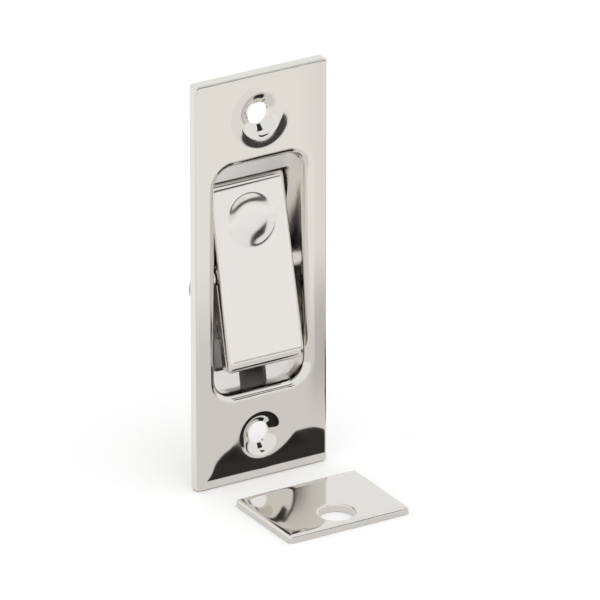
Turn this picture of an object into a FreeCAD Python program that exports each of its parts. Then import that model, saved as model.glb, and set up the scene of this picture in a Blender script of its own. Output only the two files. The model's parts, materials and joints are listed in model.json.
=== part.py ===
import FreeCAD, Part
import math
import os

# Recessed rocker latch for a sliding door, with its loose strike plate.
# Millimetres. +X is right as the user faces the plate, +Y goes into the jamb and +Z is up.
# The origin is on the back of the face plate, midway between its two screw holes.

# Face plate
PLATE_WIDTH = 28.6
PLATE_HEIGHT = 82.55
PLATE_THICK = 2.0
PLATE_CORNER = 0.6
PLATE_EDGE = 0.4
OPENING_WIDTH = 19.3
OPENING_HEIGHT = 46.2
OPENING_CORNER = 3.8
OPENING_ROLL = 1.8
SCREW_SPACING = 65.2
SCREW_HOLE = 4.4
SINK_WIDTH = 9.0
SINK_DEPTH = 1.45

# Rocker, measured level and then tilted about the pivot
ROCKER_WIDTH = 16.4
ROCKER_LENGTH = 37.6
ROCKER_THICK = 3.0
ROCKER_CORNER = 1.6
ROCKER_EDGE = 0.9
TILT = 12.6
PIVOT_DEPTH = 2.53
FACE_TO_PIVOT = 3.1
PIVOT_PIN = 2.4
PIN_HEAD = 3.6
PIN_HEAD_THICK = 0.7
PIN_TAIL = 1.2
PIN_GROOVE = 1.8
CLIP_RING = 3.7
CLIP_MOUTH = 1.5
WASHER = 3.0
WASHER_PLAY = 0.05
RUNNING_GAP = 0.05
HUB_RADIUS = 2.0
HUB_LENGTH = 16.0
NOSE_REACH = 2.88
NOSE_RADIUS = 0.8
NOSE_WIDTH = 2.8
DIMPLE_WIDTH = 10.6
DIMPLE_DEPTH = 0.35
DIMPLE_RISE = 9.8

# Bolt and the fork that throws it
BOLT = 6.35
BOLT_DROP = 10.2
BOLT_NOSE = 20.3
NOSE_CHAMFER = 0.6
CROSS_PIN = 2.0
CROSS_PIN_LENGTH = 8.1
FORK_OFFSET = 2.8
SLOT_GAP = 0.12
LUG_THICK = 1.6
LUG_WALL = 0.95
TONGUE_THICK = 4.0
TONGUE_RADIUS = 1.6
TONGUE_PLAY = 0.1
SHOULDER_BEHIND_PIN = 2.7

# Case behind the plate
WALL = 1.0
THIN_WALL = 0.9
RECESS_DEPTH = 5.8
FLANGE_WIDTH = 26.6
FLANGE_HEIGHT = 56.0
FLANGE_THICK = 1.0
FLANGE_NOTCH = 6.4
LEDGE_DEPTH = 1.1
LEDGE_SLOPE = 0.18
LEDGE_THICK = 1.2
WINDOW_WIDTH = 16.9
WINDOW_HEIGHT = 38.6
WINDOW_CORNER = 1.0
NOTCH_WIDTH = 5.8
BOSS = 3.8
BOSS_FACE = 8.5
CASE_DEPTH = 7.3
COVER_THICK = 0.9
TURRET_WIDTH = 8.6
TURRET_HEIGHT = 11.0
TURRET_DEPTH = 3.0
PAD_RADIUS = 1.2
PAD_CLEARANCE = 0.04
PAD_X = 6.0
PAD_Z = 14.0

# Bushing, leaf spring and small fasteners
BUSHING = 9.0
BUSHING_END = 16.0
LOCK_RING = 11.4
LOCK_RING_THICK = 1.6
LEAF_WIDTH = 3.0
LEAF_THICK = 0.3
LEAF_TOP = 10.0
LEAF_BEND = 5.5
LEAF_LIFT = 0.3
CREST_RISE = 0.63
CREST_HALF = 1.0
RIVET = 1.6
RIVET_HEAD = 2.6
RIVET_HEAD_THICK = 0.45
RIVET_Z = 8.0
POST = 4.0
COVER_SCREW = 1.9
COVER_SCREW_HEAD = 3.6
COVER_SCREW_HEAD_THICK = 1.1
COVER_SCREW_START = 2.3
COVER_SCREW_HOLE = 2.1
COVER_SCREW_Z = 25.7
CASE_SCREW = 1.6
CASE_SCREW_HEAD = 2.3
CASE_SCREW_HEAD_THICK = 0.9
CASE_SCREW_BITE = 1.2
CASE_SCREW_HOLE = 1.7
CASE_SCREW_X = 11.9
CASE_SCREW_Z = 20.0
SPANNER_WIDTH = 1.2
SPANNER_DEPTH = 0.6
SPANNER_START = 0.7

# Strike plate, flat on the ground in front of the face plate
STRIKE_WIDTH = 26.2
STRIKE_LENGTH = 19.9
STRIKE_THICK = 1.5
STRIKE_EDGE = 0.5
STRIKE_X = 2.1
STRIKE_GAP = 18.6
STRIKE_HOLE = 7.0
STRIKE_HOLE_SHIFT = 5.1
STRIKE_HOLE_CHAMFER = 0.3

V = FreeCAD.Vector
FRONT = -PLATE_THICK
LIMIT = math.radians(TILT)


def block(x_span, y_span, z_span):
    """A box between the low and high values on each axis."""
    low = V(x_span[0], y_span[0], z_span[0])
    return Part.makeBox(x_span[1] - x_span[0], y_span[1] - y_span[0], z_span[1] - z_span[0], low)


def rod(radius, y_span, x=0.0, z=0.0):
    """A round bar along Y."""
    return Part.makeCylinder(radius, y_span[1] - y_span[0], V(x, y_span[0], z), V(0, 1, 0))


def cross_rod(radius, x_span, y=0.0, z=0.0):
    """A round bar along X."""
    return Part.makeCylinder(radius, x_span[1] - x_span[0], V(x_span[0], y, z), V(1, 0, 0))


def slab(width, height, corner, y_span):
    """A rounded rectangle in XZ, centred on the Y axis and extruded along it."""
    half_w = width / 2
    half_h = height / 2
    body = block((-half_w, half_w), y_span, (-half_h, half_h))
    upright = [e for e in body.Edges if abs(e.tangentAt(e.FirstParameter).y) > 0.99]
    return body.makeFillet(corner, upright)


def edges_on(shape, y):
    """The edges that lie in the plane of this Y."""
    return [e for e in shape.Edges if abs(e.BoundBox.YMin - y) < 1e-5 and abs(e.BoundBox.YMax - y) < 1e-5]


def side_profile(points, half_width):
    """Extrude a closed YZ outline of straight sides across X."""
    corners = [V(-half_width, y, z) for y, z in points]
    return Part.Face(Part.makePolygon(corners + corners[:1])).extrude(V(2 * half_width, 0, 0))


def tilt(shape):
    """Turn a level rocker shape to its stored pose, lower end out, and set it on the pivot."""
    turned = shape.copy()
    turned.rotate(V(0, 0, 0), V(1, 0, 0), -TILT)
    turned.translate(V(0, PIVOT_DEPTH, 0))
    return turned


def cross_pin_depth():
    """Y of the cross pin at rest: the fork's exact place, less half of the error of a constant ratio."""
    exact = PIVOT_DEPTH + FORK_OFFSET / math.cos(LIMIT) - BOLT_DROP * math.tan(LIMIT)
    error = FORK_OFFSET * (1 / math.cos(LIMIT) - 1)
    return exact - error / 2


def face_plate():
    """Cast plate with rolled edges, the rocker's opening and two dished screw holes."""
    plate = slab(PLATE_WIDTH, PLATE_HEIGHT, PLATE_CORNER, (FRONT, 0))
    plate = plate.makeFillet(PLATE_EDGE, edges_on(plate, FRONT))
    opening = slab(OPENING_WIDTH, OPENING_HEIGHT, OPENING_CORNER, (FRONT - 1, 1))
    plate = plate.cut(opening)
    rim = [e for e in edges_on(plate, FRONT) if e.BoundBox.ZMax < OPENING_HEIGHT / 2 + 0.1
           and e.BoundBox.ZMin > -OPENING_HEIGHT / 2 - 0.1 and abs(e.BoundBox.XMax) < PLATE_WIDTH / 2 - 2]
    plate = plate.makeFillet(OPENING_ROLL, rim)
    for side in (1, -1):
        z = side * SCREW_SPACING / 2
        sink = Part.makeCone(SINK_WIDTH / 2, SCREW_HOLE / 2, SINK_DEPTH, V(0, FRONT, z), V(0, 1, 0))
        plate = plate.cut(sink).cut(rod(SCREW_HOLE / 2, (FRONT - 1, 1), z=z))
    for x, z in case_screw_places():
        plate = plate.cut(rod(CASE_SCREW / 2, (-CASE_SCREW_BITE, 1), x, z))
    return plate


def case_screw_places():
    """Centres of the four screws that hold the case to the plate."""
    return [(sx * CASE_SCREW_X, sz * CASE_SCREW_Z) for sz in (1, -1) for sx in (-1, 1)]


def ledge_line(extra):
    """The V-shaped ledge as YZ points from low to high Z, moved back by extra."""
    end = OPENING_HEIGHT / 2
    shallow = LEDGE_DEPTH + extra
    return [(shallow, -end), (shallow + LEDGE_SLOPE * end, 0), (shallow, end)]


def case_shell():
    """Cast pocket: flange, recess walls, pivot bosses, sloped ledge with its window, and the box below."""
    width = OPENING_WIDTH + 2 * WALL
    height = OPENING_HEIGHT + 2 * WALL
    corner = OPENING_CORNER + WALL
    box_width = WINDOW_WIDTH + 2 * THIN_WALL
    shell = slab(width, height, corner, (0, RECESS_DEPTH))
    shell = shell.fuse(slab(box_width, height, corner, (RECESS_DEPTH - 1, CASE_DEPTH)))
    flange = slab(FLANGE_WIDTH, FLANGE_HEIGHT, 2.0, (0, FLANGE_THICK))
    for side in (-1, 1):
        span = sorted((side * width / 2, side * FLANGE_WIDTH))
        flange = flange.cut(block(span, (-1, 2), (-FLANGE_NOTCH / 2, FLANGE_NOTCH / 2)))
        shell = shell.fuse(rod(POST / 2, (0, CASE_DEPTH), z=side * COVER_SCREW_Z))
    shell = shell.fuse(flange)

    end = OPENING_HEIGHT / 2
    mouth = side_profile([(-1, end), (-1, -end)] + ledge_line(0), OPENING_WIDTH)
    shell = shell.cut(slab(OPENING_WIDTH, OPENING_HEIGHT, OPENING_CORNER, (-1, CASE_DEPTH)).common(mouth))
    behind = [(CASE_DEPTH + 1, end), (CASE_DEPTH + 1, -end)]
    under = side_profile(behind + ledge_line(LEDGE_THICK), WINDOW_WIDTH / 2)
    through = (-1, CASE_DEPTH + 1)
    shell = shell.cut(slab(WINDOW_WIDTH, OPENING_HEIGHT, OPENING_CORNER, through).common(under))
    shell = shell.cut(slab(WINDOW_WIDTH, WINDOW_HEIGHT, WINDOW_CORNER, (-1, CASE_DEPTH + 1)))
    shell = shell.cut(block((-NOTCH_WIDTH / 2, NOTCH_WIDTH / 2), (-1, CASE_DEPTH - 1), (-end, 0)))

    for side in (-1, 1):
        span = sorted((side * BOSS_FACE, side * (width / 2 - WALL / 2)))
        shell = shell.fuse(cross_rod(BOSS / 2, span, PIVOT_DEPTH))
        screw_span = (COVER_SCREW_START, CASE_DEPTH + 1)
        shell = shell.cut(rod(COVER_SCREW / 2, screw_span, z=side * COVER_SCREW_Z))
    shell = shell.cut(cross_rod(PIVOT_PIN / 2, (-width, width), PIVOT_DEPTH))
    for x, z in case_screw_places():
        shell = shell.cut(rod(CASE_SCREW_HOLE / 2, (-1, 2), x, z))
    return shell.removeSplitter()


def pad_top():
    """Y of the stop pads: just behind the rocker's back at either end of its travel."""
    back = ROCKER_THICK - FACE_TO_PIVOT
    reach = PAD_Z + PAD_RADIUS
    return PIVOT_DEPTH + back / math.cos(LIMIT) + reach * math.tan(LIMIT) + PAD_CLEARANCE


def case_back():
    """Rear cover: stop pads for the rocker, and a turret that clears the fork and carries the bushing."""
    back = CASE_DEPTH + COVER_THICK
    turret_end = back + TURRET_DEPTH
    width = WINDOW_WIDTH + 2 * THIN_WALL
    cover = slab(width, OPENING_HEIGHT + 2 * WALL, OPENING_CORNER + WALL, (CASE_DEPTH, back))
    half_w = TURRET_WIDTH / 2
    half_h = TURRET_HEIGHT / 2
    middle = -BOLT_DROP + 0.2
    outer = block((-half_w - THIN_WALL, half_w + THIN_WALL), (CASE_DEPTH, turret_end),
                  (middle - half_h - THIN_WALL, middle + half_h + THIN_WALL))
    cover = cover.fuse(outer)
    for side in (-1, 1):
        cover = cover.fuse(rod(POST / 2, (CASE_DEPTH, back), z=side * COVER_SCREW_Z))
        for x in (-PAD_X, PAD_X):
            cover = cover.fuse(rod(PAD_RADIUS, (pad_top(), back), x, side * PAD_Z))
    cover = cover.cut(block((-half_w, half_w), (CASE_DEPTH - 1, turret_end - THIN_WALL),
                            (middle - half_h, middle + half_h)))
    cover = cover.cut(rod(BUSHING / 2, (back, turret_end + 1), z=-BOLT_DROP))
    cover = cover.cut(rod(RIVET / 2, (CASE_DEPTH - 1, back + 1), z=RIVET_Z))
    for side in (-1, 1):
        cover = cover.cut(rod(COVER_SCREW_HOLE / 2, (CASE_DEPTH - 1, back + 1), z=side * COVER_SCREW_Z))
    return cover.removeSplitter()


def fork_lug(low_x):
    """One slotted ear of the fork, level."""
    pin_line = [cross_pin_level_z(angle) for angle in (-LIMIT, LIMIT)]
    slot_low = min(pin_line) - SLOT_GAP
    slot_high = max(pin_line) + SLOT_GAP
    slot_radius = CROSS_PIN / 2 + SLOT_GAP
    outer = slot_radius + LUG_WALL
    span = (low_x, low_x + LUG_THICK)
    root = ROCKER_THICK - FACE_TO_PIVOT - 0.5
    lug = block(span, (root, FORK_OFFSET), (slot_low - outer, slot_high + outer))
    lug = lug.fuse(block(span, (FORK_OFFSET - 1, FORK_OFFSET + outer), (slot_low, slot_high)))
    slot = block(span, (FORK_OFFSET - slot_radius, FORK_OFFSET + slot_radius), (slot_low, slot_high))
    for z in (slot_low, slot_high):
        lug = lug.fuse(cross_rod(outer, span, FORK_OFFSET, z))
        slot = slot.fuse(cross_rod(slot_radius, span, FORK_OFFSET, z))
    return lug.cut(slot)


def cross_pin_level_z(angle):
    """Where the cross pin stands along the level rocker when the rocker is turned by this angle."""
    return -BOLT_DROP / math.cos(angle) - FORK_OFFSET * math.tan(angle)


def rocker():
    """The toggle: thumb plate with a shallow dimple, a pivot hub with a detent nose, and a fork."""
    back = ROCKER_THICK - FACE_TO_PIVOT
    body = slab(ROCKER_WIDTH, ROCKER_LENGTH, ROCKER_CORNER, (-FACE_TO_PIVOT, back))
    body = body.makeFillet(ROCKER_EDGE, edges_on(body, -FACE_TO_PIVOT))
    dish = ((DIMPLE_WIDTH / 2) ** 2 + DIMPLE_DEPTH ** 2) / (2 * DIMPLE_DEPTH)
    body = body.cut(Part.makeSphere(dish, V(0, -FACE_TO_PIVOT + DIMPLE_DEPTH - dish, DIMPLE_RISE)))
    body = body.fuse(cross_rod(HUB_RADIUS, (-HUB_LENGTH / 2, HUB_LENGTH / 2)))
    nose_span = (-NOSE_WIDTH / 2, NOSE_WIDTH / 2)
    body = body.fuse(block(nose_span, (0, NOSE_REACH), (-NOSE_RADIUS, NOSE_RADIUS)))
    body = body.fuse(cross_rod(NOSE_RADIUS, nose_span, NOSE_REACH))
    inner = TONGUE_THICK / 2 + TONGUE_PLAY
    for low_x in (-inner - LUG_THICK, inner):
        body = body.fuse(fork_lug(low_x))
    body = body.cut(cross_rod(PIVOT_PIN / 2 + RUNNING_GAP, (-ROCKER_WIDTH, ROCKER_WIDTH)))
    return tilt(body.removeSplitter())


def pivot_pin():
    """Headed axle through both case walls, grooved for its clip."""
    wall = OPENING_WIDTH / 2 + WALL
    pin = cross_rod(PIVOT_PIN / 2, (-wall, wall + PIN_TAIL), PIVOT_DEPTH)
    pin = pin.fuse(cross_rod(PIN_HEAD / 2, (-wall - PIN_HEAD_THICK, -wall), PIVOT_DEPTH))
    groove = cross_rod(PIVOT_PIN, (wall + 0.05, wall + PIN_TAIL / 2), PIVOT_DEPTH)
    groove = groove.cut(cross_rod(PIN_GROOVE / 2, (wall, wall + PIN_TAIL), PIVOT_DEPTH))
    return pin.cut(groove)


def pivot_clip():
    """Open ring that snaps into the axle's groove."""
    wall = OPENING_WIDTH / 2 + WALL
    span = (wall + 0.08, wall + PIN_TAIL / 2 - 0.04)
    ring = cross_rod(CLIP_RING / 2, span, PIVOT_DEPTH).cut(cross_rod(PIN_GROOVE / 2, span, PIVOT_DEPTH))
    half = CLIP_MOUTH / 2
    return ring.cut(block(span, (PIVOT_DEPTH - half, PIVOT_DEPTH + half), (-CLIP_RING, 0)))


def pivot_washer(side):
    """Thin spacer between the rocker and the case's pivot boss."""
    span = sorted((side * (ROCKER_WIDTH / 2 + WASHER_PLAY), side * BOSS_FACE))
    washer = cross_rod(WASHER / 2, span, PIVOT_DEPTH)
    return washer.cut(cross_rod(PIVOT_PIN / 2, span, PIVOT_DEPTH))


def bolt():
    """Round bolt with a chamfered nose and a flat tongue for the cross pin."""
    pin_y = cross_pin_depth()
    shoulder = pin_y + SHOULDER_BEHIND_PIN
    body = rod(BOLT / 2, (shoulder, BOLT_NOSE), z=-BOLT_DROP)
    body = body.makeChamfer(NOSE_CHAMFER, edges_on(body, BOLT_NOSE))
    half = TONGUE_THICK / 2
    tongue_z = (-BOLT_DROP - TONGUE_RADIUS, -BOLT_DROP + TONGUE_RADIUS)
    tongue = block((-half, half), (pin_y, shoulder), tongue_z)
    tongue = tongue.fuse(cross_rod(TONGUE_RADIUS, (-half, half), pin_y, -BOLT_DROP))
    hole = cross_rod(CROSS_PIN / 2, (-half, half), pin_y, -BOLT_DROP)
    return body.fuse(tongue).cut(hole).removeSplitter()


def bolt_cross_pin():
    """Pin pressed through the bolt's tongue; its two ends run in the fork's slots."""
    half = CROSS_PIN_LENGTH / 2
    return cross_rod(CROSS_PIN / 2, (-half, half), cross_pin_depth(), -BOLT_DROP)


def bolt_bushing():
    """Threaded sleeve that guides the bolt."""
    start = CASE_DEPTH + COVER_THICK + TURRET_DEPTH - THIN_WALL
    sleeve = rod(BUSHING / 2, (start, BUSHING_END), z=-BOLT_DROP)
    sleeve = sleeve.makeChamfer(0.4, edges_on(sleeve, BUSHING_END))
    return sleeve.cut(rod(BOLT / 2 + RUNNING_GAP, (start, BUSHING_END), z=-BOLT_DROP))


def bushing_lock_ring():
    """Slotted ring nut that clamps the sleeve to the turret."""
    start = CASE_DEPTH + COVER_THICK + TURRET_DEPTH
    span = (start, start + LOCK_RING_THICK)
    ring = rod(LOCK_RING / 2, span, z=-BOLT_DROP).cut(rod(BUSHING / 2, span, z=-BOLT_DROP))
    reach = LOCK_RING / 2
    for turn in (0, 90, 180, 270):
        slot_x = (reach - SPANNER_DEPTH, reach + 1)
        slot_y = (start + SPANNER_START, start + 2 * LOCK_RING_THICK)
        spanner_slot = block(slot_x, slot_y, (-SPANNER_WIDTH / 2, SPANNER_WIDTH / 2))
        spanner_slot.rotate(V(0, 0, 0), V(0, 1, 0), turn + 45)
        spanner_slot.translate(V(0, 0, -BOLT_DROP))
        ring = ring.cut(spanner_slot)
    return ring


def arc(start, middle, end, x):
    """An arc through three YZ points."""
    return Part.Arc(*[V(x, y, z) for y, z in (start, middle, end)]).toShape()


def detent_spring():
    """Leaf with a crest that the rocker's nose snaps over."""
    x = -LEAF_WIDTH / 2
    seat = CASE_DEPTH - LEAF_THICK
    lifted = seat - LEAF_LIFT
    crest = lifted - CREST_RISE
    inner_half = CREST_HALF - LEAF_THICK / 2
    tail = -2 * CREST_HALF
    upper = [(seat, LEAF_TOP), (seat, LEAF_BEND), (lifted, CREST_HALF)]
    lower = [(seat, inner_half), (CASE_DEPTH, LEAF_BEND), (CASE_DEPTH, LEAF_TOP), (seat, LEAF_TOP)]
    edges = [Part.makeLine(V(x, *a), V(x, *b)) for a, b in zip(upper, upper[1:])]
    edges.append(arc((lifted, CREST_HALF), (crest, 0), (lifted, -CREST_HALF), x))
    edges.append(Part.makeLine(V(x, lifted, -CREST_HALF), V(x, lifted, tail)))
    edges.append(Part.makeLine(V(x, lifted, tail), V(x, seat, tail)))
    edges.append(Part.makeLine(V(x, seat, tail), V(x, seat, -inner_half)))
    edges.append(arc((seat, -inner_half), (crest + LEAF_THICK, 0), (seat, inner_half), x))
    edges += [Part.makeLine(V(x, *a), V(x, *b)) for a, b in zip(lower, lower[1:])]
    leaf = Part.Face(Part.Wire(edges)).extrude(V(LEAF_WIDTH, 0, 0))
    return leaf.cut(rod(RIVET / 2, (seat - 1, CASE_DEPTH + 1), z=RIVET_Z))


def spring_rivet():
    """Rivet through the leaf and the cover."""
    back = CASE_DEPTH + COVER_THICK
    seat = CASE_DEPTH - LEAF_THICK
    shank = rod(RIVET / 2, (seat, back), z=RIVET_Z)
    inner_head = rod(RIVET_HEAD / 2, (seat - RIVET_HEAD_THICK, seat), z=RIVET_Z)
    outer_head = rod(RIVET_HEAD / 2, (back, back + RIVET_HEAD_THICK), z=RIVET_Z)
    return shank.fuse(inner_head).fuse(outer_head)


def slotted_screw(shank, head, y_span, head_thick, x, z):
    """Cheese-head screw along Y, its head at the high end, with a driver slot."""
    top = y_span[1] + head_thick
    screw = rod(shank, y_span, x, z).fuse(rod(head, (y_span[1], top), x, z))
    slot = block((x - head, x + head), (top - head_thick / 2, top), (z - head / 5, z + head / 5))
    return screw.cut(slot)


def strike_plate():
    """Flat plate with softened upper edges and one hole for the bolt."""
    low_z = -PLATE_HEIGHT / 2
    top = low_z + STRIKE_THICK
    centre_y = FRONT - STRIKE_GAP
    half_w = STRIKE_WIDTH / 2
    half_l = STRIKE_LENGTH / 2
    side_span = (STRIKE_X - half_w, STRIKE_X + half_w)
    plate = block(side_span, (centre_y - half_l, centre_y + half_l), (low_z, top))
    upper = [e for e in plate.Edges if abs(e.BoundBox.ZMin - top) < 1e-5]
    plate = plate.makeFillet(STRIKE_EDGE, upper)
    spot = V(STRIKE_X, centre_y - STRIKE_HOLE_SHIFT, low_z)
    radius = STRIKE_HOLE / 2
    plate = plate.cut(Part.makeCylinder(radius, STRIKE_THICK, spot))
    mouth = spot + V(0, 0, STRIKE_THICK - STRIKE_HOLE_CHAMFER)
    return plate.cut(Part.makeCone(radius, radius + STRIKE_HOLE_CHAMFER, STRIKE_HOLE_CHAMFER, mouth))


def main():
    back = CASE_DEPTH + COVER_THICK
    nodes = {
        "face_plate": face_plate(),
        "case_shell": case_shell(),
        "case_back": case_back(),
        "toggle": rocker(),
        "pivot_pin": pivot_pin(),
        "pivot_clip": pivot_clip(),
        "pivot_washer_left": pivot_washer(-1),
        "pivot_washer_right": pivot_washer(1),
        "bolt": bolt(),
        "bolt_cross_pin": bolt_cross_pin(),
        "bolt_bushing": bolt_bushing(),
        "bushing_lock_ring": bushing_lock_ring(),
        "detent_spring": detent_spring(),
        "spring_rivet": spring_rivet(),
        "strike_plate": strike_plate(),
    }
    case_span = (-CASE_SCREW_BITE, FLANGE_THICK)
    for number, (x, z) in enumerate(case_screw_places(), start=1):
        screw = slotted_screw(CASE_SCREW / 2, CASE_SCREW_HEAD / 2, case_span, CASE_SCREW_HEAD_THICK, x, z)
        nodes[f"case_screw_{number}"] = screw
    cover_span = (COVER_SCREW_START, back)
    for name, side in (("upper", 1), ("lower", -1)):
        z = side * COVER_SCREW_Z
        head = COVER_SCREW_HEAD / 2
        screw = slotted_screw(COVER_SCREW / 2, head, cover_span, COVER_SCREW_HEAD_THICK, 0, z)
        nodes[f"cover_screw_{name}"] = screw

    os.makedirs("parts", exist_ok=True)
    for name, shape in nodes.items():
        solids = shape.Solids
        print(name, "solids", len(solids), "valid", shape.isValid(), "volume", round(shape.Volume, 2))
        solids[0].exportStep(f"parts/{name}.step")


main()
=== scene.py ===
import json
import math

import bmesh
import bpy
import numpy as np
from mathutils import Matrix, Vector


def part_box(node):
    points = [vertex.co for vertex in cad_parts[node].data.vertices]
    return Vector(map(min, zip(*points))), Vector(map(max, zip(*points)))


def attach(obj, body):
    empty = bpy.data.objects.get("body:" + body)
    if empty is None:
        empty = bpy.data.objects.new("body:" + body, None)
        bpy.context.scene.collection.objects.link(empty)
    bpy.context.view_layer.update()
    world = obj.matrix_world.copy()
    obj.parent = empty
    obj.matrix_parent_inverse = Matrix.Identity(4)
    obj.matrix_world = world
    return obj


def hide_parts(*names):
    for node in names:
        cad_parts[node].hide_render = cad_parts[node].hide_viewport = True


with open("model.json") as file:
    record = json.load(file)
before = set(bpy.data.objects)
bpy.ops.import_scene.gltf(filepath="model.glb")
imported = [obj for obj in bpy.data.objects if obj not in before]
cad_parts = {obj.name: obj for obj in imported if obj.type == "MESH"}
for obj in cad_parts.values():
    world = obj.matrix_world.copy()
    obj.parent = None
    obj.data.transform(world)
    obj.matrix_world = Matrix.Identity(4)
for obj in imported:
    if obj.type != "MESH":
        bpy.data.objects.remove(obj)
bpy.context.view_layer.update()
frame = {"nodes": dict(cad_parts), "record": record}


# ---------------------------------------------------------------- Camera
# A long lens far to the left of the plate's normal and above it, so that
# upright edges stay parallel. It looks at a point low on the face plate.
lens_distance = 2.0
lens_side = math.radians(31.0)
lens_rise = math.radians(23.75)
picture_scale = 5340.0
picture_width = 600
sensor_width = 36
aim_right = 0.00717
aim_up = 0.00447

plate_low, plate_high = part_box("face_plate")
look = Vector((
    math.sin(lens_side) * math.cos(lens_rise),
    math.cos(lens_side) * math.cos(lens_rise),
    -math.sin(lens_rise),
))
right = Vector((math.cos(lens_side), -math.sin(lens_side), 0))
up = right.cross(look)
plate_front = Vector((0, plate_low.y, 0))
camera_data = bpy.data.cameras.new("camera")
camera_data.sensor_width = sensor_width
camera_data.lens = sensor_width * picture_scale * lens_distance / picture_width
camera_data.clip_end = 10 * lens_distance
camera = bpy.data.objects.new("camera", camera_data)
bpy.context.scene.collection.objects.link(camera)
camera_place = plate_front - look * lens_distance + right * aim_right - up * aim_up
camera_turn = Matrix((right, up, -look)).transposed().to_4x4()
camera.matrix_world = Matrix.Translation(camera_place) @ camera_turn
bpy.context.scene.camera = camera


# ---------------------------------------------------------------- Studio
# A white floor and a pale room, with dark flags that only the polished
# metal sees. Nothing here is part of the object.
def stage_sheet(name, corners, material, camera_sees):
    """A flat stage piece of any outline."""
    mesh = bpy.data.meshes.new(name)
    mesh.from_pydata(corners, [], [tuple(range(len(corners)))])
    sheet = bpy.data.objects.new(name, mesh)
    bpy.context.scene.collection.objects.link(sheet)
    mesh.materials.append(material)
    sheet.visible_camera = camera_sees
    return sheet


def plain_material(name, colour, roughness):
    """A material of one colour, for the stage."""
    material = bpy.data.materials.new(name)
    material.use_nodes = True
    shader = material.node_tree.nodes["Principled BSDF"]
    shader.inputs["Base Color"].default_value = (*colour, 1)
    shader.inputs["Roughness"].default_value = roughness
    return material


def card_material(name, build=None):
    """An even white glow; build may give it a strength worked out from the place on the card."""
    material = bpy.data.materials.new(name)
    material.use_nodes = True
    tree = material.node_tree
    tree.nodes.remove(tree.nodes["Principled BSDF"])
    glow = tree.nodes.new("ShaderNodeEmission")
    glow.inputs["Color"].default_value = (1.0, 0.995, 0.975, 1)
    tree.links.new(glow.outputs["Emission"], tree.nodes["Material Output"].inputs["Surface"])
    if build:
        tree.links.new(build(tree), glow.inputs["Strength"])
    return material


def mirror_only(card):
    """Leave a card to be seen in polished metal and nowhere else."""
    card.visible_diffuse = False
    card.visible_shadow = False
    card.visible_transmission = False


def floor_rectangle(x_low, x_high, y_low, y_high, z):
    """The four corners of a level rectangle."""
    return [(x_low, y_low, z), (x_high, y_low, z), (x_high, y_high, z), (x_low, y_high, z)]


floor_gap = 0.0001
floor_z = plate_low.z - floor_gap
floor_reach = 3.0
floor_white = plain_material("floor_white", (0.97, 0.97, 0.97), 0.8)
floor_corners = floor_rectangle(-floor_reach, floor_reach, -floor_reach, floor_reach, floor_z)
stage_sheet("floor", floor_corners, floor_white, True)

world = bpy.data.worlds.new("pale_room")
world.use_nodes = True
world.node_tree.nodes["Background"].inputs["Color"].default_value = (1.0, 1.0, 1.0, 1)
world.node_tree.nodes["Background"].inputs["Strength"].default_value = 1.0
bpy.context.scene.world = world
bpy.context.scene.view_settings.view_transform = "Standard"

key = bpy.data.lights.new("overhead_softbox", "SUN")
key.energy = 0.35
key.angle = math.radians(70)
key_object = bpy.data.objects.new("overhead_softbox", key)
key_object.rotation_euler = (math.radians(20), math.radians(-15), 0)
key_object.visible_glossy = False
bpy.context.scene.collection.objects.link(key_object)

# The upright plate mirrors the floor in front of it, so a graded card lies
# there. One unit up the plate is floor_per_height units out along the floor.
floor_per_height = 1.95
drift_per_depth = 0.598
foot_strength = 0.80
right_shade = 0.19


def graded_floor(tree):
    """Bright far out, a little darker near the plate and darkest to the near right."""
    nodes, links = tree.nodes, tree.links

    def ramp(source, low, high, to_low, to_high):
        node = nodes.new("ShaderNodeMapRange")
        node.interpolation_type = "SMOOTHSTEP"
        node.inputs["From Min"].default_value = low
        node.inputs["From Max"].default_value = high
        node.inputs["To Min"].default_value = to_low
        node.inputs["To Max"].default_value = to_high
        links.new(source, node.inputs["Value"])
        return node.outputs["Result"]

    def combine(operation, first, second):
        node = nodes.new("ShaderNodeMath")
        node.operation = operation
        for socket, value in zip(node.inputs, (first, second)):
            if isinstance(value, float):
                socket.default_value = value
            else:
                links.new(value, socket)
        return node.outputs["Value"]

    place = nodes.new("ShaderNodeTexCoord")
    split = nodes.new("ShaderNodeSeparateXYZ")
    links.new(place.outputs["Object"], split.inputs["Vector"])
    depth = combine("SUBTRACT", split.outputs["Y"], plate_low.y)
    height = combine("MULTIPLY", depth, -1 / floor_per_height)
    across = combine("ADD", split.outputs["X"], combine("MULTIPLY", depth, drift_per_depth))
    rise = ramp(height, 0.026, 0.048, foot_strength, 1.0)
    right_side = ramp(across, 0.009, 0.0125, 0.0, 1.0)
    above_foot = ramp(height, 0.006, 0.021, 0.0, 1.0)
    below_top = ramp(height, 0.030, 0.046, 1.0, 0.35)
    middle = combine("MULTIPLY", above_foot, below_top)
    shade = combine("MULTIPLY", combine("MULTIPLY", right_side, middle), right_shade)
    return combine("SUBTRACT", rise, shade)


card_reach = 0.45
card_lift = 0.0002
card_near = plate_low.y - 0.0004
card_corners = floor_rectangle(-card_reach, card_reach, -card_reach, card_near, floor_z + card_lift)
graded = stage_sheet("graded_card", card_corners, card_material("graded_glow", graded_floor), False)
mirror_only(graded)

# A black flag on the floor close to the plate gives its dark wavy foot. This is painted shade: the flag
# stands in for the shaded floor in front of the plate and is seen only in the plate's reflection.
flag_black = plain_material("flag_black", (0.012, 0.011, 0.009), 1.0)
flag_lift = 0.0004
wave_outline = [
    (-0.0105, -0.0027), (-0.0080, -0.0050), (-0.0045, -0.0095),
    (0.0015, -0.0140), (0.0100, -0.0128), (0.0192, -0.0146),
    (0.0212, -0.0120), (0.0200, -0.0080), (0.0158, -0.0027),
]


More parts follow.
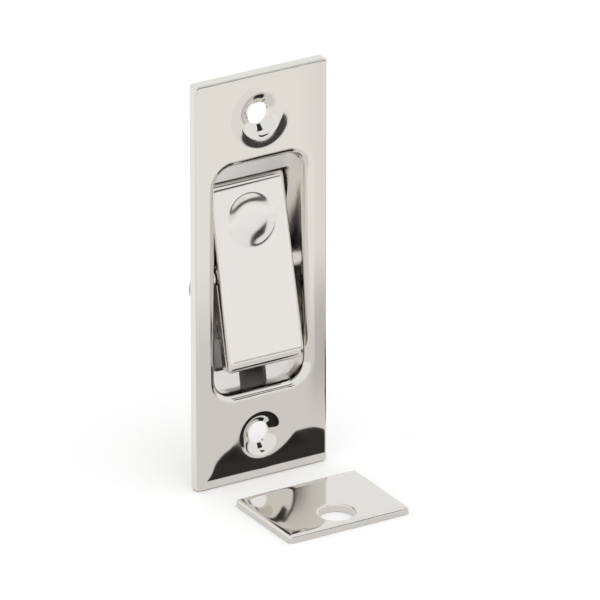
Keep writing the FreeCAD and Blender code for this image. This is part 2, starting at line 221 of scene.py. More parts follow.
def rounded_outline(points, rounds):
    """Cut the corners off an open outline a few times, which rounds it."""
    for _ in range(rounds):
        softer = [points[0]]
        for (ax, ay), (bx, by) in zip(points, points[1:]):
            softer.append((ax * 0.75 + bx * 0.25, ay * 0.75 + by * 0.25))
            softer.append((ax * 0.25 + bx * 0.75, ay * 0.25 + by * 0.75))
        points = softer + [points[-1]]
    return points


def outline_flag(name, outline):
    """A black card of any outline, flat on the floor. Its places are from the plate's front."""
    corners = [(x, plate_low.y + y, floor_z + flag_lift) for x, y in outline]
    mirror_only(stage_sheet(name, corners, flag_black, False))


outline_flag("floor_flag", rounded_outline(wave_outline, 3))

# A second one lies where only the top of the opening's rolled rim mirrors it.
rim_outline = [
    (0.0300, 0.0040), (0.0310, -0.0265), (0.0425, -0.0460),
    (0.0620, -0.0460), (0.0620, 0.0040),
]
outline_flag("rim_flag", rim_outline)

# A black strip further out, past what the flat of the plate mirrors, draws
# the dark lines in its dishes and along its rolled edges.
strip_near, strip_far = 0.180, 0.270
strip_left, strip_right = 0.06, 0.22
strip_outline = [
    (strip_left, -strip_far), (strip_right, -strip_far),
    (strip_right, -strip_near), (strip_left, -strip_near),
]
outline_flag("floor_strip", strip_outline)

# Two black flags hang upright in front. The high one draws dark lines on edges
# that lean upwards. The low one darkens the near corner of the strike plate.
high_outline = [(0.20, 0.445), (0.58, 0.445), (0.58, 0.62), (0.20, 0.62)]
low_outline = [
    (0.0640, 0.0620), (0.1020, 0.0620), (0.1292, 0.1110), (0.1292, 0.1192),
    (0.1180, 0.1192), (0.0980, 0.1000), (0.0700, 0.0920),
]
hung_flags = (("high_flag", high_outline, 0.60), ("low_flag", low_outline, 0.200))
for name, outline, depth_out in hung_flags:
    corners = [(x, plate_low.y - depth_out, floor_z + z) for x, z in outline]
    mirror_only(stage_sheet(name, corners, flag_black, False))


# ---------------------------------------------------------------- Face plate
# A cast plate of polished nickel with rolled edges. The rocker's opening
# and the two dished screw seats are rounded over, with no sharp corner.
mm = 0.001


def rounded_box_distance(x, z, half_w, half_h, corner):
    """Signed distance to a rounded rectangle centred on the origin; negative inside."""
    qx = np.abs(x) - (half_w - corner)
    qz = np.abs(z) - (half_h - corner)
    outside = np.hypot(np.maximum(qx, 0), np.maximum(qz, 0))
    return outside + np.minimum(np.maximum(qx, qz), 0) - corner


def rolled(distance, radius):
    """How far a quarter-round edge has dropped at this distance from the edge."""
    inside = np.clip(radius - distance, 0, radius)
    return radius - np.sqrt(radius ** 2 - inside ** 2)


def edge_steps(low, high, step, low_roll=0, high_roll=0):
    """Places from low to high, closer together where an end is rolled over."""
    steepest, roll_steps = 81, 10
    share = 1 - np.sin(np.radians(np.linspace(0, steepest, roll_steps)))
    steps = max(2, round((high - low) / step))
    inner = np.linspace(low + low_roll, high - high_roll, steps + 1)
    ends = [inner]
    if low_roll:
        ends += [low + low_roll * share, [low]]
    if high_roll:
        ends += [high - high_roll * share, [high]]
    return np.unique(np.round(np.concatenate(ends), 8))


def frame_loop(xs, zs):
    """Points round a rectangle, corners included, anticlockwise from the low left."""
    points = [(x, zs[0]) for x in xs[:-1]] + [(xs[-1], z) for z in zs[:-1]]
    points += [(x, zs[-1]) for x in xs[:0:-1]] + [(xs[0], z) for z in zs[:0:-1]]
    return np.array(points)


def soften_corners(points, half_w, half_h, corner):
    """Move a square-cornered grid so that its corners become round."""
    moved = points.copy()
    u = (np.abs(points[:, 0]) - (half_w - corner)) / corner
    v = (np.abs(points[:, 1]) - (half_h - corner)) / corner
    near = (u > 0) & (v > 0)
    un = u[near] * np.sqrt(1 - v[near] ** 2 / 2)
    vn = v[near] * np.sqrt(1 - u[near] ** 2 / 2)
    moved[near, 0] = np.sign(points[near, 0]) * (half_w - corner + un * corner)
    moved[near, 1] = np.sign(points[near, 1]) * (half_h - corner + vn * corner)
    return moved


def ring_zone(loop, centre_of, hole_distance, start_at, rings):
    """Rings of points from a hole's edge out to a loop. Each ray runs from its own centre."""
    centres = centre_of(loop)
    near = np.zeros(len(loop))
    far = np.ones(len(loop))
    halvings = 40
    for _ in range(halvings):
        middle = (near + far) / 2
        inside = hole_distance(centres + (loop - centres) * middle[:, None]) < start_at
        near = np.where(inside, middle, near)
        far = np.where(inside, far, middle)
    start = centres + (loop - centres) * far[:, None]
    return [start + (loop - start) * share for share in rings]


def skin(bm, rings, place):
    """Join closed rings of points with quads."""
    rows = [[bm.verts.new(place(p)) for p in ring] for ring in rings]
    for low, high in zip(rows, rows[1:]):
        for a in range(len(low)):
            b = (a + 1) % len(low)
            bm.faces.new([low[a], low[b], high[b], high[a]])


def side_wall(ring, level):
    """The points of a ring, dropped to one level."""
    return np.column_stack([ring[:, 0], np.full(len(ring), level), ring[:, 1]])


def quarter_turn(radius, turn):
    """How far in each step of a rolled edge lies, when it turns this many degrees a step."""
    return [radius * (1 - math.cos(math.radians(a))) for a in range(0, 90, turn)]


same_place = 1e-7
seam_gap = 1e-6
plate_smooth = math.radians(40)
casting_smooth = math.radians(35)


def finished_object(bm, name):
    """Merge a bmesh's doubles, point its faces outwards and make it an object."""
    bmesh.ops.remove_doubles(bm, verts=bm.verts, dist=same_place)
    bmesh.ops.recalc_face_normals(bm, faces=bm.faces)
    mesh = bpy.data.meshes.new(name)
    bm.to_mesh(mesh)
    bm.free()
    made = bpy.data.objects.new(name, mesh)
    bpy.context.scene.collection.objects.link(made)
    mesh.shade_smooth()
    mesh.set_sharp_from_angle(angle=plate_smooth)
    return made


def polished_nickel(name, tone, roughness):
    """Buffed nickel plate: warm white metal with slight changes of tone and gloss."""
    material = bpy.data.materials.new(name)
    material.use_nodes = True
    nodes = material.node_tree.nodes
    links = material.node_tree.links
    shader = nodes["Principled BSDF"]
    shader.inputs["Metallic"].default_value = 1.0
    place = nodes.new("ShaderNodeTexCoord")
    cloud = nodes.new("ShaderNodeTexNoise")
    cloud.inputs["Scale"].default_value = 90
    cloud.inputs["Detail"].default_value = 3
    links.new(place.outputs["Object"], cloud.inputs["Vector"])
    gloss = nodes.new("ShaderNodeMapRange")
    gloss.inputs["To Min"].default_value = roughness * 0.7
    gloss.inputs["To Max"].default_value = roughness * 1.3
    links.new(cloud.outputs["Fac"], gloss.inputs["Value"])
    links.new(gloss.outputs["Result"], shader.inputs["Roughness"])
    tint = nodes.new("ShaderNodeMix")
    tint.data_type = "RGBA"
    tint.inputs["A"].default_value = (*[c * 0.985 for c in tone], 1)
    tint.inputs["B"].default_value = (*tone, 1)
    links.new(cloud.outputs["Fac"], tint.inputs["Factor"])
    links.new(tint.outputs["Result"], shader.inputs["Base Color"])
    return material


nickel_tone = (0.745, 0.725, 0.685)
nickel_roughness = 0.06
plate_half_w = (plate_high.x - plate_low.x) / 2
plate_half_h = (plate_high.z - plate_low.z) / 2
plate_corner = 0.6 * mm
plate_roll = 0.4 * mm
opening_half_w = 9.65 * mm
opening_half_h = 23.1 * mm
opening_corner = 3.8 * mm
opening_roll = 1.8 * mm
screw_z = 32.6 * mm
screw_radius = 2.2 * mm
seat_radius = 3.9 * mm
seat_depth = 0.95 * mm
dish_radius = 7.2 * mm
dish_depth = 0.55 * mm
zone_edge = 26.0 * mm
grid_step = 0.45 * mm
seat_rings_from = 3.2 * mm
seat_ring_step = 0.1 * mm
seat_blend = 0.5 * mm
ring_count = 30
ring_crowding = 1.8
edge_rings = [1 - (1 - k / ring_count) ** ring_crowding for k in range(ring_count + 1)]


def opening_distance(points):
    """Distance of these XZ points from the opening's edge."""
    x, z = points[:, 0], points[:, 1]
    return rounded_box_distance(x, z, opening_half_w, opening_half_h, opening_corner)


def seat_height(distance):
    """Depth of a dished screw seat at this distance from its centre: a cone with a rounded lip."""
    slope = seat_depth / (seat_radius - screw_radius)
    cone = (seat_radius - distance) * slope
    lip = np.where(cone < -seat_blend, 0, (cone + seat_blend) ** 2 / (4 * seat_blend))
    soft = np.where(cone > seat_blend, cone, lip)
    dish = dish_depth * np.clip(1 - (distance / dish_radius) ** 2, 0, 1) ** 2
    return np.minimum(soft, seat_depth + seat_blend) + dish


def plate_surface(points):
    """Y of the plate's front at these XZ points."""
    x, z = points[:, 0], points[:, 1]
    edge = -rounded_box_distance(x, z, plate_half_w, plate_half_h, plate_corner)
    y = plate_low.y + rolled(edge, plate_roll)
    y = y + rolled(np.maximum(opening_distance(points), 0), opening_roll)
    for side in (1, -1):
        y = y + seat_height(np.hypot(x, z - side * screw_z))
    return np.minimum(y, plate_high.y)


def plate_rings(bm, loop, centre_of, hole_distance, start_at, extra_rings):
    """One zone of the plate: its front, the hole's wall and its back."""
    rings = ring_zone(loop, centre_of, hole_distance, start_at, edge_rings)
    rings = [ring_zone(loop, centre_of, hole_distance, d, [0.0])[0] for d in extra_rings] + rings
    rings = [soften_corners(r, plate_half_w, plate_half_h, plate_corner) for r in rings]
    surface = [np.column_stack([r[:, 0], plate_surface(r), r[:, 1]]) for r in rings]
    back = [side_wall(r, plate_high.y) for r in (rings[0], rings[-1])]
    skin(bm, [back[0]] + surface, Vector)
    skin(bm, [back[1], back[0]], Vector)


bm = bmesh.new()
opening_spine = opening_half_h - opening_half_w
plate_xs = edge_steps(-plate_half_w, plate_half_w, grid_step, plate_roll, plate_roll)
plate_rings(
    bm,
    frame_loop(plate_xs, edge_steps(-zone_edge, zone_edge, grid_step)),
    lambda p: np.column_stack([np.zeros(len(p)), np.clip(p[:, 1], -opening_spine, opening_spine)]),
    opening_distance,
    opening_roll,
    quarter_turn(opening_roll, 7),
)
for side in (1, -1):
    zone_zs = edge_steps(zone_edge, plate_half_h, grid_step, 0, plate_roll)
    plate_rings(
        bm,
        frame_loop(plate_xs, zone_zs if side > 0 else -zone_zs[::-1]),
        lambda p: np.column_stack([np.zeros(len(p)), np.full(len(p), side * screw_z)]),
        lambda p: np.hypot(p[:, 0], p[:, 1] - side * screw_z) - screw_radius,
        seat_rings_from,
        [seat_ring_step * k for k in range(round(seat_rings_from / seat_ring_step))],
    )
bmesh.ops.remove_doubles(bm, verts=bm.verts, dist=seam_gap)
rim = [e for e in bm.edges if e.is_boundary]
bmesh.ops.bridge_loops(bm, edges=rim)
face_plate = finished_object(bm, "plate_polished")
face_plate.data.materials.append(polished_nickel("plate_nickel", nickel_tone, nickel_roughness))
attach(face_plate, "latch")
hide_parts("face_plate")


# ---------------------------------------------------------------- Rocker
# The thumb plate of the toggle: cast with its hub, nose and fork in one,
# then polished on the front, with rolled ends and a shallow thumb dimple.
pivot = next(j for j in frame["record"]["behaviour"]["joints"] if j["name"] == "toggle_pivot")
rocker_tilt = math.radians(pivot["range_deg"][1] / 2)
rocker_axis = Vector(pivot["pos_m"])
rocker_half_w = 8.21 * mm
rocker_half_l = 18.81 * mm
rocker_corner = 1.55 * mm
side_roll = 0.9 * mm
end_roll = 2.3 * mm
rocker_face = -3.1 * mm
rocker_back = -0.09 * mm
keep_from = -0.6 * mm
dimple_z = 9.8 * mm
dimple_radius = 5.3 * mm
dimple_depth = 0.35 * mm
dimple_flatness = 4
dimple_lip = 1.5
axle_hole = 1.25 * mm
rocker_step = 0.30 * mm
thinnest_edge = 0.3 * mm
weld = 0.002 * mm
rocker_tone = (0.765, 0.745, 0.705)
rocker_roughness = 0.10


def on_rocker(x, y, z):
    """A point of the level rocker, turned to its stored pose."""
    cos, sin = math.cos(rocker_tilt), math.sin(rocker_tilt)
    return rocker_axis + Vector((x, y * cos + z * sin, z * cos - y * sin))


def rocker_height(x, z):
    """Y of the level rocker's front."""
    sides = rolled(rocker_half_w - np.abs(x), side_roll)
    ends = rolled(rocker_half_l - np.abs(z), end_roll)
    share = np.clip(np.hypot(x, z - dimple_z) / dimple_radius, 0, 1)
    dimple = dimple_depth * (1 - share ** dimple_flatness) ** dimple_lip
    return np.minimum(rocker_face + sides + ends + dimple, rocker_back - thinnest_edge)


def grid_block(bm, xs, zs, corner, half_w, half_h, height, back, place):
    """A closed block: shaped front, straight sides and a flat back."""
    grid = np.array([(x, z) for z in zs for x in xs])
    grid = soften_corners(grid, half_w, half_h, corner)
    ys = height(grid[:, 0], grid[:, 1])
    front = [bm.verts.new(place(p[0], y, p[1])) for p, y in zip(grid, ys)]
    across = len(xs)
    for row in range(len(zs) - 1):
        for column in range(across - 1):
            low = row * across + column
            bm.faces.new([front[low], front[low + 1], front[low + 1 + across], front[low + across]])
    last = len(zs) - 1
    ring = [(0, c) for c in range(across)] + [(r, across - 1) for r in range(1, last + 1)]
    ring += [(last, c) for c in range(across - 2, -1, -1)] + [(r, 0) for r in range(last - 1, 0, -1)]
    rim = [r * across + c for r, c in ring]
    rear = [bm.verts.new(place(grid[i][0], back, grid[i][1])) for i in rim]
    for a in range(len(rim)):
        b = (a + 1) % len(rim)
        bm.faces.new([front[rim[a]], rear[a], rear[b], front[rim[b]]])
    bm.faces.new(rear)


def scratch_object(name, bm):
    """A helper for a cut or a join, which doesn't stay in the scene."""
    bmesh.ops.recalc_face_normals(bm, faces=bm.faces)
    mesh = bpy.data.meshes.new(name)
    bm.to_mesh(mesh)
    bm.free()
    made = bpy.data.objects.new(name, mesh)
    bpy.context.scene.collection.objects.link(made)
    return made


def apply_boolean(target, other, operation):
    """Join or cut one closed mesh with another and drop the other."""
    modifier = target.modifiers.new(operation, "BOOLEAN")
    modifier.operation = operation
    modifier.solver = "EXACT"
    modifier.object = other
    graph = bpy.context.evaluated_depsgraph_get()
    joined = bpy.data.meshes.new_from_object(target.evaluated_get(graph))
    target.modifiers.clear()
    target.data = joined
    bpy.data.objects.remove(other)


bm = bmesh.new()
grid_block(
    bm,
    edge_steps(-rocker_half_w, rocker_half_w, rocker_step, side_roll, side_roll),
    edge_steps(-rocker_half_l, rocker_half_l, rocker_step, end_roll, end_roll),
    rocker_corner, rocker_half_w, rocker_half_l,
    rocker_height, rocker_back, on_rocker,
)
rocker = scratch_object("rocker_polished", bm)

# The hub, nose and fork are the part of the CAD body behind the thumb plate.
bm = bmesh.new()
bm.from_mesh(frame["nodes"]["toggle"].data)
bmesh.ops.remove_doubles(bm, verts=bm.verts, dist=seam_gap)
normal = (on_rocker(0, 1, 0) - on_rocker(0, 0, 0)).normalized()
everything = bm.verts[:] + bm.edges[:] + bm.faces[:]
bmesh.ops.bisect_plane(
    bm, geom=everything, plane_co=on_rocker(0, keep_from, 0), plane_no=normal, clear_inner=True)
open_edges = [e for e in bm.edges if e.is_boundary]
bmesh.ops.holes_fill(bm, edges=open_edges, sides=0)
bmesh.ops.triangulate(bm, faces=bm.faces)
fork = scratch_object("fork_and_hub", bm)
apply_boolean(rocker, fork, "UNION")

bm = bmesh.new()
bore_place = Matrix.Translation(rocker_axis) @ Matrix.Rotation(math.pi / 2, 4, "Y")
bmesh.ops.create_cone(bm, cap_ends=True, segments=64, radius1=axle_hole, radius2=axle_hole,
                      depth=4 * rocker_half_w, matrix=bore_place)
apply_boolean(rocker, scratch_object("axle_bore", bm), "DIFFERENCE")

# Welding what the cuts left leaves no sliver faces and no open edges.
bm = bmesh.new()
bm.from_mesh(rocker.data)
bmesh.ops.triangulate(bm, faces=bm.faces)
bmesh.ops.remove_doubles(bm, verts=bm.verts, dist=weld)
bmesh.ops.dissolve_degenerate(bm, edges=bm.edges, dist=weld)
bm.to_mesh(rocker.data)
bm.free()
rocker.data.materials.clear()
rocker.data.materials.append(polished_nickel("rocker_nickel", rocker_tone, rocker_roughness))
rocker.data.shade_smooth()
rocker.data.set_sharp_from_angle(angle=casting_smooth)
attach(rocker, "toggle")
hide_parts("toggle")


# ---------------------------------------------------------------- Strike plate
# A small loose plate for the door, pressed from nickel plated brass: its top
# is pillowed at the edges and the bolt hole's mouth is slightly rounded.
strike_low, strike_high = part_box("strike_plate")
strike_centre = (strike_low + strike_high) / 2
strike_half_w = (strike_high.x - strike_low.x) / 2
strike_half_l = (strike_high.y - strike_low.y) / 2
strike_corner = 0.6 * mm
strike_roll = 0.8 * mm
strike_hole = 3.5 * mm
strike_hole_shift = -5.1 * mm
strike_mouth = 0.35 * mm
strike_roll_share = 0.7
strike_step = 0.35 * mm
strike_thinnest = 0.3 * mm
pillow_depth = 0.12 * mm
pillow_reach = 2.5 * mm


def strike_eye(points):
    """Every ray starts from the hole's centre."""
    return np.column_stack([np.zeros(len(points)), np.full(len(points), strike_hole_shift)])


def strike_hole_distance(points):
    """Distance of these XY points from the hole's edge."""
    return np.hypot(points[:, 0], points[:, 1] - strike_hole_shift) - strike_hole


def strike_top(points):
    """Z of the strike's top: pillowed towards the edge, rolled at the edge and at the hole."""
    x, y = points[:, 0], points[:, 1]
    edge = -rounded_box_distance(x, y, strike_half_w, strike_half_l, strike_corner)
    share = np.clip(1 - edge / pillow_reach, 0, 1)
    drop = pillow_depth * share ** 2 + rolled(edge, strike_roll) * strike_roll_share
    hole = rolled(np.maximum(strike_hole_distance(points), 0), strike_mouth)
    return np.maximum(strike_high.z - drop - hole, strike_low.z + strike_thinnest)


bm = bmesh.new()
strike_xs = edge_steps(-strike_half_w, strike_half_w, strike_step, strike_roll, strike_roll)
strike_ys = edge_steps(-strike_half_l, strike_half_l, strike_step, strike_roll, strike_roll)
strike_loop = frame_loop(strike_xs, strike_ys)
rings = ring_zone(strike_loop, strike_eye, strike_hole_distance, strike_mouth, edge_rings)
mouth_rings = [ring_zone(strike_loop, strike_eye, strike_hole_distance, d, [0.0])[0]
               for d in quarter_turn(strike_mouth, 12)]
rings = [soften_corners(r, strike_half_w, strike_half_l, strike_corner) for r in mouth_rings + rings]


def on_strike(point):
    """A point of the strike, with its height in the middle place, put where the strike lies."""
    return Vector((strike_centre.x + point[0], strike_centre.y + point[2], point[1]))


tops = [np.column_stack([r[:, 0], strike_top(r), r[:, 1]]) for r in rings]
foot = [side_wall(r, strike_low.z) for r in (rings[0], rings[-1])]
skin(bm, [foot[0]] + tops + [foot[1], foot[0]], on_strike)
strike = finished_object(bm, "strike_polished")
strike.data.materials.append(polished_nickel("strike_nickel", nickel_tone, nickel_roughness))
strike.visible_glossy = False
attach(strike, "strike")
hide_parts("strike_plate")


# ---------------------------------------------------------------- Case
# The pocket behind the plate and its rear cover: zinc castings, nickel
# plated but not polished, so they keep a fine pearly grain.
def cast_nickel(name, tone, roughness, grain):
    """Plated casting: soft gloss, a fine pebble grain and slow changes of tone."""
    material = bpy.data.materials.new(name)
    material.use_nodes = True
    nodes = material.node_tree.nodes
    links = material.node_tree.links
    shader = nodes["Principled BSDF"]
    shader.inputs["Metallic"].default_value = 1.0
    place = nodes.new("ShaderNodeTexCoord")
    pebble = nodes.new("ShaderNodeTexNoise")
    pebble.inputs["Scale"].default_value = 2200
    pebble.inputs["Detail"].default_value = 2
    links.new(place.outputs["Object"], pebble.inputs["Vector"])
    bump = nodes.new("ShaderNodeBump")
    bump.inputs["Strength"].default_value = grain
    bump.inputs["Distance"].default_value = 0.05 * mm
    links.new(pebble.outputs["Fac"], bump.inputs["Height"])
    links.new(bump.outputs["Normal"], shader.inputs["Normal"])
    patch = nodes.new("ShaderNodeTexNoise")
    patch.inputs["Scale"].default_value = 160
    links.new(place.outputs["Object"], patch.inputs["Vector"])
    tint = nodes.new("ShaderNodeMix")
    tint.data_type = "RGBA"
    tint.inputs["A"].default_value = (*[c * 0.93 for c in tone], 1)
    tint.inputs["B"].default_value = (*tone, 1)
    links.new(patch.outputs["Fac"], tint.inputs["Factor"])
    links.new(tint.outputs["Result"], shader.inputs["Base Color"])
    gloss = nodes.new("ShaderNodeMapRange")
    gloss.inputs["To Min"].default_value = roughness * 0.8
    gloss.inputs["To Max"].default_value = roughness * 1.2
    links.new(patch.outputs["Fac"], gloss.inputs["Value"])
    links.new(gloss.outputs["Result"], shader.inputs["Roughness"])
    return material


def dress(name, material):
    """Give a CAD node its finish."""
    node = frame["nodes"][name]
    node.data.materials.clear()
    node.data.materials.append(material)


case_tone = (0.86, 0.845, 0.82)
cover_tone = (0.40, 0.39, 0.375)
dress("case_shell", cast_nickel("case_casting", case_tone, roughness=0.26, grain=0.12))
dress("case_back", cast_nickel("cover_casting", cover_tone, roughness=0.42, grain=0.30))


# ---------------------------------------------------------------- Pivot
# A headed steel axle through both case walls with an open spring clip on its
# tail, and two thin black acetal washers that centre the rocker.
waves_per_unit = 20


def turned_metal(name, tone, roughness, axis, centre, pitch):
    """Lathe-turned metal: fine rings round an axis, as roughness and a faint bump."""
    material = bpy.data.materials.new(name)
    material.use_nodes = True
    nodes = material.node_tree.nodes
    links = material.node_tree.links
    shader = nodes["Principled BSDF"]
    shader.inputs["Metallic"].default_value = 1.0
    place = nodes.new("ShaderNodeTexCoord")
    shift = nodes.new("ShaderNodeMapping")
    shift.inputs["Location"].default_value = -Vector(centre)
    links.new(place.outputs["Object"], shift.inputs["Vector"])
    lines = nodes.new("ShaderNodeTexWave")
    lines.wave_type = "BANDS"
    lines.bands_direction = axis
    lines.inputs["Scale"].default_value = math.tau / (waves_per_unit * pitch)
    lines.inputs["Distortion"].default_value = 1.5
    lines.inputs["Detail"].default_value = 2
    links.new(shift.outputs["Vector"], lines.inputs["Vector"])
    gloss = nodes.new("ShaderNodeMapRange")
    gloss.inputs["To Min"].default_value = roughness * 0.75
    gloss.inputs["To Max"].default_value = roughness * 1.25
    links.new(lines.outputs["Fac"], gloss.inputs["Value"])
    links.new(gloss.outputs["Result"], shader.inputs["Roughness"])
    bump = nodes.new("ShaderNodeBump")
    bump.inputs["Strength"].default_value = 0.08
    bump.inputs["Distance"].default_value = 0.02 * mm
    links.new(lines.outputs["Fac"], bump.inputs["Height"])
    links.new(bump.outputs["Normal"], shader.inputs["Normal"])
    tint = nodes.new("ShaderNodeMix")
    tint.data_type = "RGBA"
    tint.inputs["A"].default_value = (*[c * 0.9 for c in tone], 1)
    tint.inputs["B"].default_value = (*tone, 1)
    links.new(lines.outputs["Fac"], tint.inputs["Factor"])
    links.new(tint.outputs["Result"], shader.inputs["Base Color"])
    return material


def moulded_black(name):
    """Moulded acetal: near black, with a slight uneven sheen."""
    material = plain_material(name, (0.022, 0.022, 0.024), 0.45)
    nodes = material.node_tree.nodes
    links = material.node_tree.links
    place = nodes.new("ShaderNodeTexCoord")
    cloud = nodes.new("ShaderNodeTexNoise")
    cloud.inputs["Scale"].default_value = 900
    links.new(place.outputs["Object"], cloud.inputs["Vector"])
    gloss = nodes.new("ShaderNodeMapRange")
    gloss.inputs["To Min"].default_value = 0.36
    gloss.inputs["To Max"].default_value = 0.54
    links.new(cloud.outputs["Fac"], gloss.inputs["Value"])
    links.new(gloss.outputs["Result"], nodes["Principled BSDF"].inputs["Roughness"])
    return material


steel_tone = (0.66, 0.66, 0.665)
dress("pivot_pin", turned_metal("axle_steel", steel_tone, 0.22, "X", rocker_axis, 0.12 * mm))
clip_tone = (0.34, 0.35, 0.37)
dress("pivot_clip", turned_metal("clip_spring_steel", clip_tone, 0.32, "X", rocker_axis, 0.10 * mm))
for side in ("left", "right"):
    dress("pivot_washer_" + side, moulded_black("washer_acetal_" + side))


# ---------------------------------------------------------------- Bolt
# The round throw bolt of ground steel, with a chamfered nose and a flat
# tongue, and the cross pin pressed through that tongue.
bolt_low, bolt_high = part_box("bolt")
bolt_centre = (bolt_low + bolt_high) / 2
bolt_tone = (0.46, 0.46, 0.455)
dress("bolt", turned_metal("bolt_ground_steel", bolt_tone, 0.24, "Y", bolt_centre, 0.16 * mm))
dress("bolt_cross_pin", turned_metal("cross_pin_steel", steel_tone, 0.18, "X", bolt_centre, 0.12 * mm))


# ---------------------------------------------------------------- Bushing
# A turned brass sleeve that guides the bolt, clamped to the cover's turret
# by a brass ring nut with four spanner slots.
brass_tone = (0.72, 0.52, 0.23)
dress("bolt_bushing", turned_metal("bushing_brass", brass_tone, 0.24, "Y", bolt_centre, 0.20 * mm))
ring_tone = (0.76, 0.57, 0.27)
dress("bushing_lock_ring", turned_metal("ring_nut_brass", ring_tone, 0.28, "Y", bolt_centre, 0.20 * mm))


# ---------------------------------------------------------------- Detent
# A bent leaf of blued spring steel that the rocker's nose snaps over, held
# to the cover by one brass rivet.
leaf_tone = (0.30, 0.33, 0.40)
dress("detent_spring", turned_metal("leaf_spring_steel", leaf_tone, 0.30, "Z", (0, 0, 0), 0.14 * mm))
dress("spring_rivet", turned_metal("rivet_brass", brass_tone, 0.35, "Y", (0, 0, 0), 0.15 * mm))


# ---------------------------------------------------------------- Screws
# Slotted steel screws driven from behind: four hold the case to the plate
# and two longer ones hold the rear cover to the case.
def node_maker(tree):
    """Shorthand for adding a node with its input values or links."""
    def make(kind, output=None, settings=None, **inputs):
        node = tree.nodes.new(kind)
        for key_name, value in (settings or {}).items():
            setattr(node, key_name, value)
        for key_name, value in inputs.items():
            socket = node.inputs[key_name.replace("_", " ")]
            if isinstance(value, bpy.types.NodeSocket):
                tree.links.new(value, socket)
            else:
                socket.default_value = value
        return node.outputs[output] if output else node
    return make


shank_root_share = 0.25
slot_share = 0.4
worn_edge = 0.06 * mm


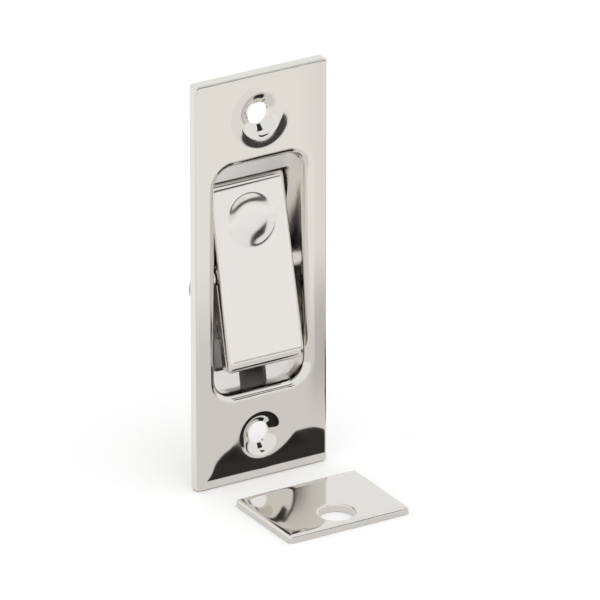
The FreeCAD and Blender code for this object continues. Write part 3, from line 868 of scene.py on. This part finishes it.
def screw_tree():
    """Geometry Nodes: one slotted cheese-head screw on every point it is given."""
    tree = bpy.data.node_groups.new("slotted_screws", "GeometryNodeTree")

    def socket_id(label, kind, way="INPUT"):
        return tree.interface.new_socket(label, in_out=way, socket_type=kind).identifier

    socket_id("Geometry", "NodeSocketGeometry")
    labels = ("Shank Radius", "Shank Length", "Head Radius", "Head Height", "Slot Width")
    sizes = {label: socket_id(label, "NodeSocketFloat") for label in labels}
    finish_id = socket_id("Finish", "NodeSocketMaterial")
    socket_id("Geometry", "NodeSocketGeometry", "OUTPUT")
    entry = tree.nodes.new("NodeGroupInput")
    leave = tree.nodes.new("NodeGroupOutput")
    make = node_maker(tree)

    def maths(operation, first, second):
        node = tree.nodes.new("ShaderNodeMath")
        node.operation = operation
        for socket, value in zip(node.inputs, (first, second)):
            if isinstance(value, bpy.types.NodeSocket):
                tree.links.new(value, socket)
            else:
                socket.default_value = value
        return node.outputs["Value"]

    def along(value):
        return make("ShaderNodeCombineXYZ", "Vector", Z=value)

    shank_length = entry.outputs["Shank Length"]
    head_radius = entry.outputs["Head Radius"]
    head_height = entry.outputs["Head Height"]

    # The shank runs a little way up into the head, so that the join has no faces in one plane.
    root = maths("MULTIPLY", head_height, shank_root_share)
    shank = make("GeometryNodeMeshCylinder", "Mesh", Vertices=40,
                 Radius=entry.outputs["Shank Radius"], Depth=maths("ADD", shank_length, root))
    middle = maths("MULTIPLY", maths("SUBTRACT", root, shank_length), 0.5)
    shank = make("GeometryNodeTransform", "Geometry", Geometry=shank, Translation=along(middle))
    head = make("GeometryNodeMeshCylinder", "Mesh", Vertices=56, Radius=head_radius, Depth=head_height)
    head = make("GeometryNodeTransform", "Geometry", Geometry=head,
                Translation=along(maths("MULTIPLY", head_height, 0.5)))
    slot_size = make("ShaderNodeCombineXYZ", "Vector", X=maths("MULTIPLY", head_radius, 3.0),
                     Y=entry.outputs["Slot Width"], Z=head_height)
    slot = make("GeometryNodeMeshCube", "Mesh", Size=slot_size)
    slot = make("GeometryNodeTransform", "Geometry", Geometry=slot, Translation=along(head_height))
    body = tree.nodes.new("GeometryNodeMeshBoolean")
    body.operation = "UNION"
    tree.links.new(shank, body.inputs["Mesh 2"])
    tree.links.new(head, body.inputs["Mesh 2"])
    slotted = tree.nodes.new("GeometryNodeMeshBoolean")
    slotted.operation = "DIFFERENCE"
    tree.links.new(body.outputs["Mesh"], slotted.inputs["Mesh 1"])
    tree.links.new(slot, slotted.inputs["Mesh 2"])
    placed = make("GeometryNodeInstanceOnPoints", "Instances", Points=entry.outputs["Geometry"],
                  Instance=slotted.outputs["Mesh"], Rotation=(math.radians(-90), 0, 0))
    real = make("GeometryNodeRealizeInstances", "Geometry", Geometry=placed)
    done = make("GeometryNodeSetMaterial", "Geometry", Geometry=real, Material=entry.outputs["Finish"])
    tree.links.new(done, leave.inputs["Geometry"])
    return tree, sizes, finish_id


screws, screw_sizes, screw_finish = screw_tree()


def screw_set(name, nodes, head_height, shank_share, finish):
    """Stand one set of screws on its CAD nodes' places and make it a plain mesh."""
    boxes = [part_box(n) for n in nodes]
    low, high = boxes[0]
    head_radius = (high.x - low.x) / 2
    seats = [((a.x + b.x) / 2, b.y - head_height, (a.z + b.z) / 2) for a, b in boxes]
    mesh = bpy.data.meshes.new(name + "_seats")
    mesh.from_pydata(seats, [], [])
    made = bpy.data.objects.new(name, mesh)
    bpy.context.scene.collection.objects.link(made)
    modifier = made.modifiers.new("screws", "NODES")
    modifier.node_group = screws
    values = {
        "Shank Radius": head_radius * shank_share,
        "Shank Length": high.y - head_height - low.y,
        "Head Radius": head_radius,
        "Head Height": head_height,
        "Slot Width": head_radius * slot_share,
    }
    for label, value in values.items():
        modifier[screw_sizes[label]] = value
    modifier[screw_finish] = finish
    graph = bpy.context.evaluated_depsgraph_get()
    plain = bpy.data.meshes.new_from_object(made.evaluated_get(graph))
    made.modifiers.clear()
    made.data = plain
    softened = made.modifiers.new("worn_edges", "BEVEL")
    softened.width = worn_edge
    softened.segments = 2
    softened.limit_method = "ANGLE"
    plain.shade_smooth()
    plain.set_sharp_from_angle(angle=casting_smooth)
    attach(made, "latch")
    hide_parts(*nodes)


case_screw_names = [f"case_screw_{k}" for k in (1, 2, 3, 4)]
case_head_height = 0.9 * mm
case_shank_share = 0.8 / 1.15
cover_screw_names = ["cover_screw_upper", "cover_screw_lower"]
cover_head_height = 1.1 * mm
cover_shank_share = 0.95 / 1.8
screw_tone = (0.62, 0.62, 0.63)
screw_steel = turned_metal("screw_steel", screw_tone, 0.26, "Y", (0, 0, 0), 0.10 * mm)
screw_set("case_screws", case_screw_names, case_head_height, case_shank_share, screw_steel)
screw_set("cover_screws", cover_screw_names, cover_head_height, cover_shank_share, screw_steel)
